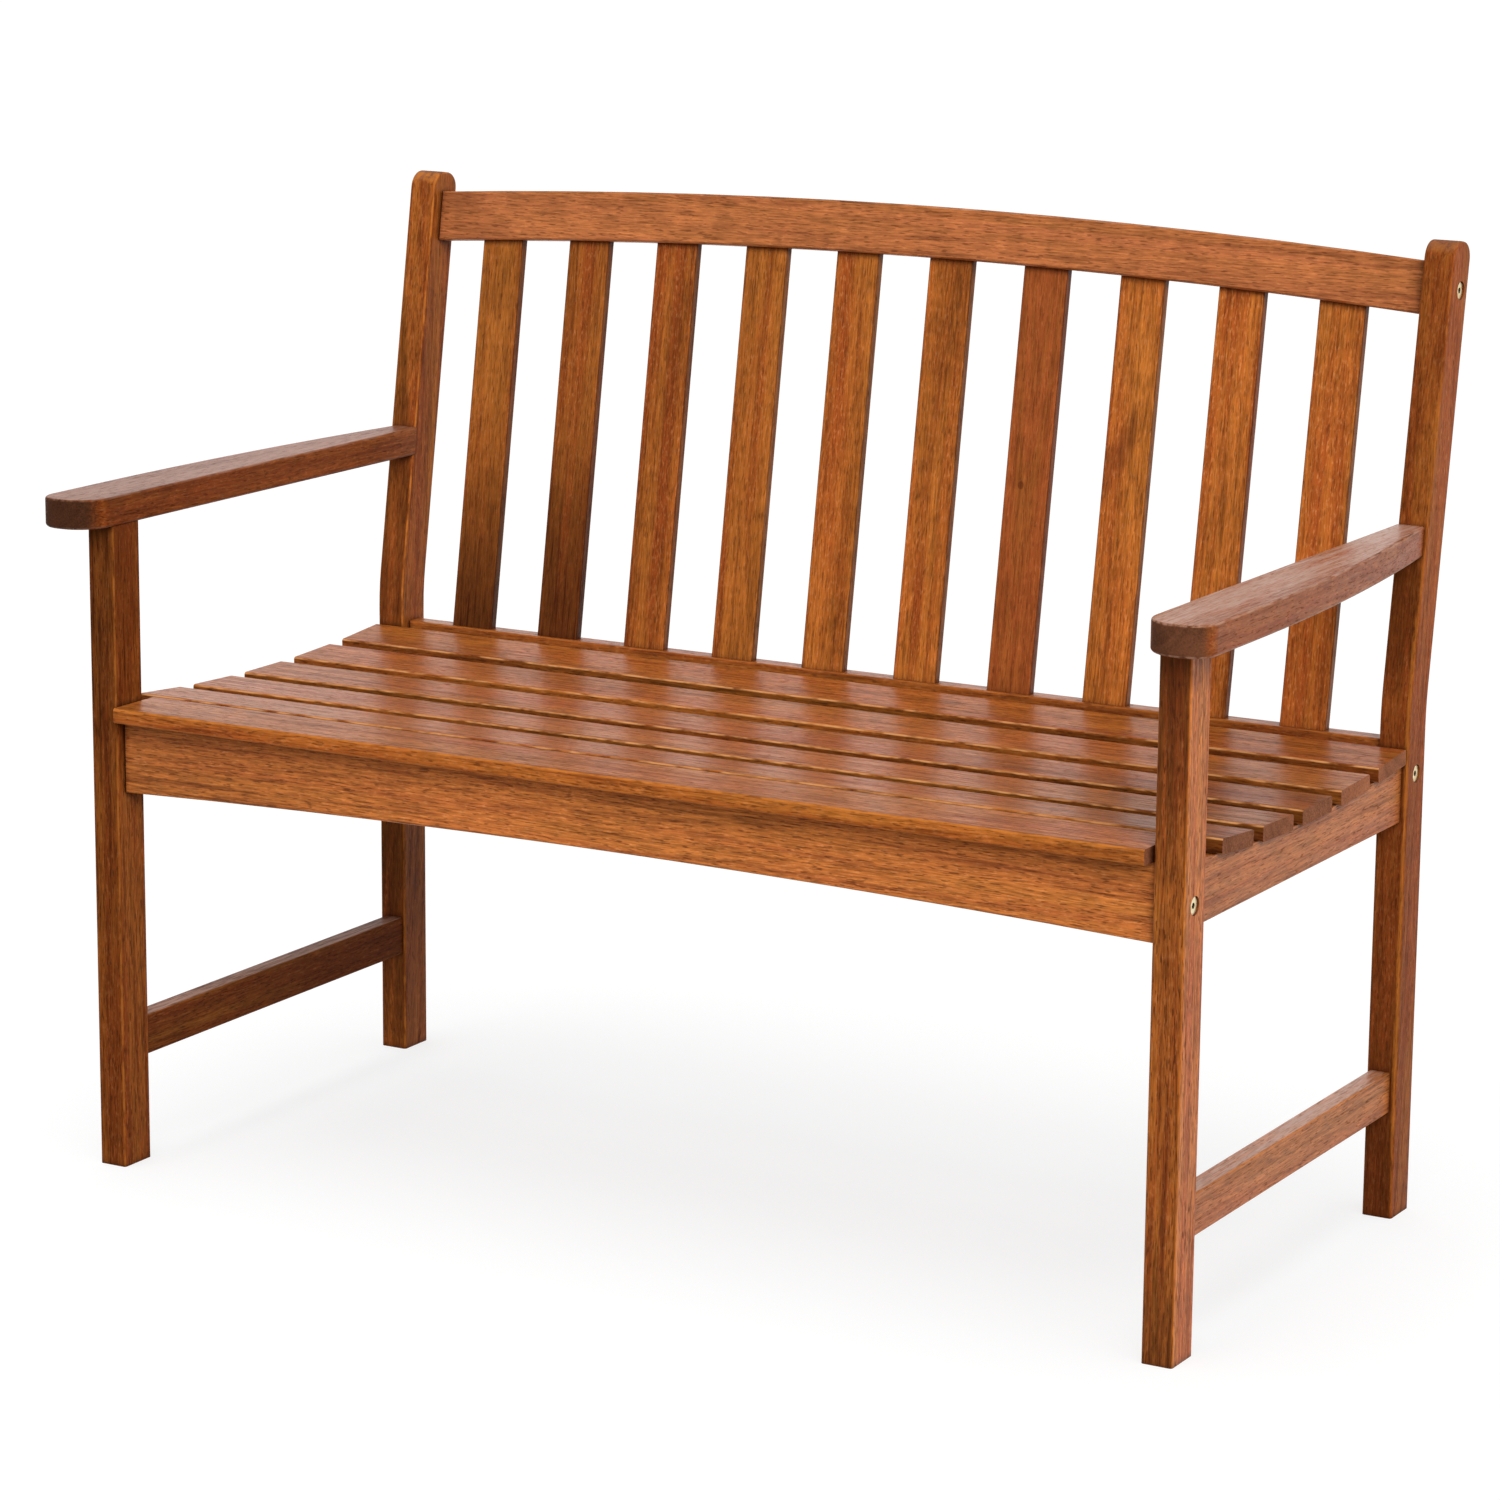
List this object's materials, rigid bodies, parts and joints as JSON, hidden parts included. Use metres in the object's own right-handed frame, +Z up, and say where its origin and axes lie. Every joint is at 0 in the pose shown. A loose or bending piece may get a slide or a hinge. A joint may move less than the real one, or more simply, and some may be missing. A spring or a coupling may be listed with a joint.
{
  "type": "garden bench",
  "caption": "Oiled hardwood garden bench with a scooped slatted seat, a raked slatted back under an arched crest rail, and curved flat arms, bolted together for outdoor sitting.",
  "frame": {"origin": "on the ground, under the middle of the bench's overall box", "axes": "+X along the bench to the sitter's left (the right-hand end seen from the front), +Y from the front to the back, +Z up"},
  "size_m": [1.159, 0.6084, 0.88],
  "materials": {
    "frame_wood": "satin oiled hardwood, reddish brown with fine dark pores",
    "back_slat_wood": "satin oiled hardwood, golden to red brown from slat to slat",
    "seat_slat_wood": "satin oiled hardwood with a pale sheen",
    "dowel_wood": "plain turned beech dowel",
    "bolt_brass": "brass-plated socket head, slightly dulled",
    "nut_steel": "zinc-plated steel"
  },
  "bodies": {
    "root": {"front_apron": "frame_wood", "lower_back_rail": "frame_wood", "crest_rail": "frame_wood", "seat_bearer": "frame_wood", "front_leg_left": "frame_wood", "front_leg_right": "frame_wood", "rear_leg_left": "frame_wood", "rear_leg_right": "frame_wood", "armrest_left": "frame_wood", "armrest_right": "frame_wood", "side_seat_rail_left": "frame_wood", "side_seat_rail_right": "frame_wood", "side_stretcher_left": "frame_wood", "side_stretcher_right": "frame_wood", "back_slat_01": "back_slat_wood", "back_slat_02": "back_slat_wood", "back_slat_03": "back_slat_wood", "back_slat_04": "back_slat_wood", "back_slat_05": "back_slat_wood", "back_slat_06": "back_slat_wood", "back_slat_07": "back_slat_wood", "back_slat_08": "back_slat_wood", "back_slat_09": "back_slat_wood", "back_slat_10": "back_slat_wood", "seat_slat_1": "seat_slat_wood", "seat_slat_2": "seat_slat_wood", "seat_slat_3": "seat_slat_wood", "seat_slat_4": "seat_slat_wood", "seat_slat_5": "seat_slat_wood", "seat_slat_6": "seat_slat_wood", "frame_bolts": "bolt_brass", "barrel_nuts": "nut_steel", "rail_dowels": "dowel_wood", "seat_dowels": "dowel_wood"}
  },
  "joints": []
}
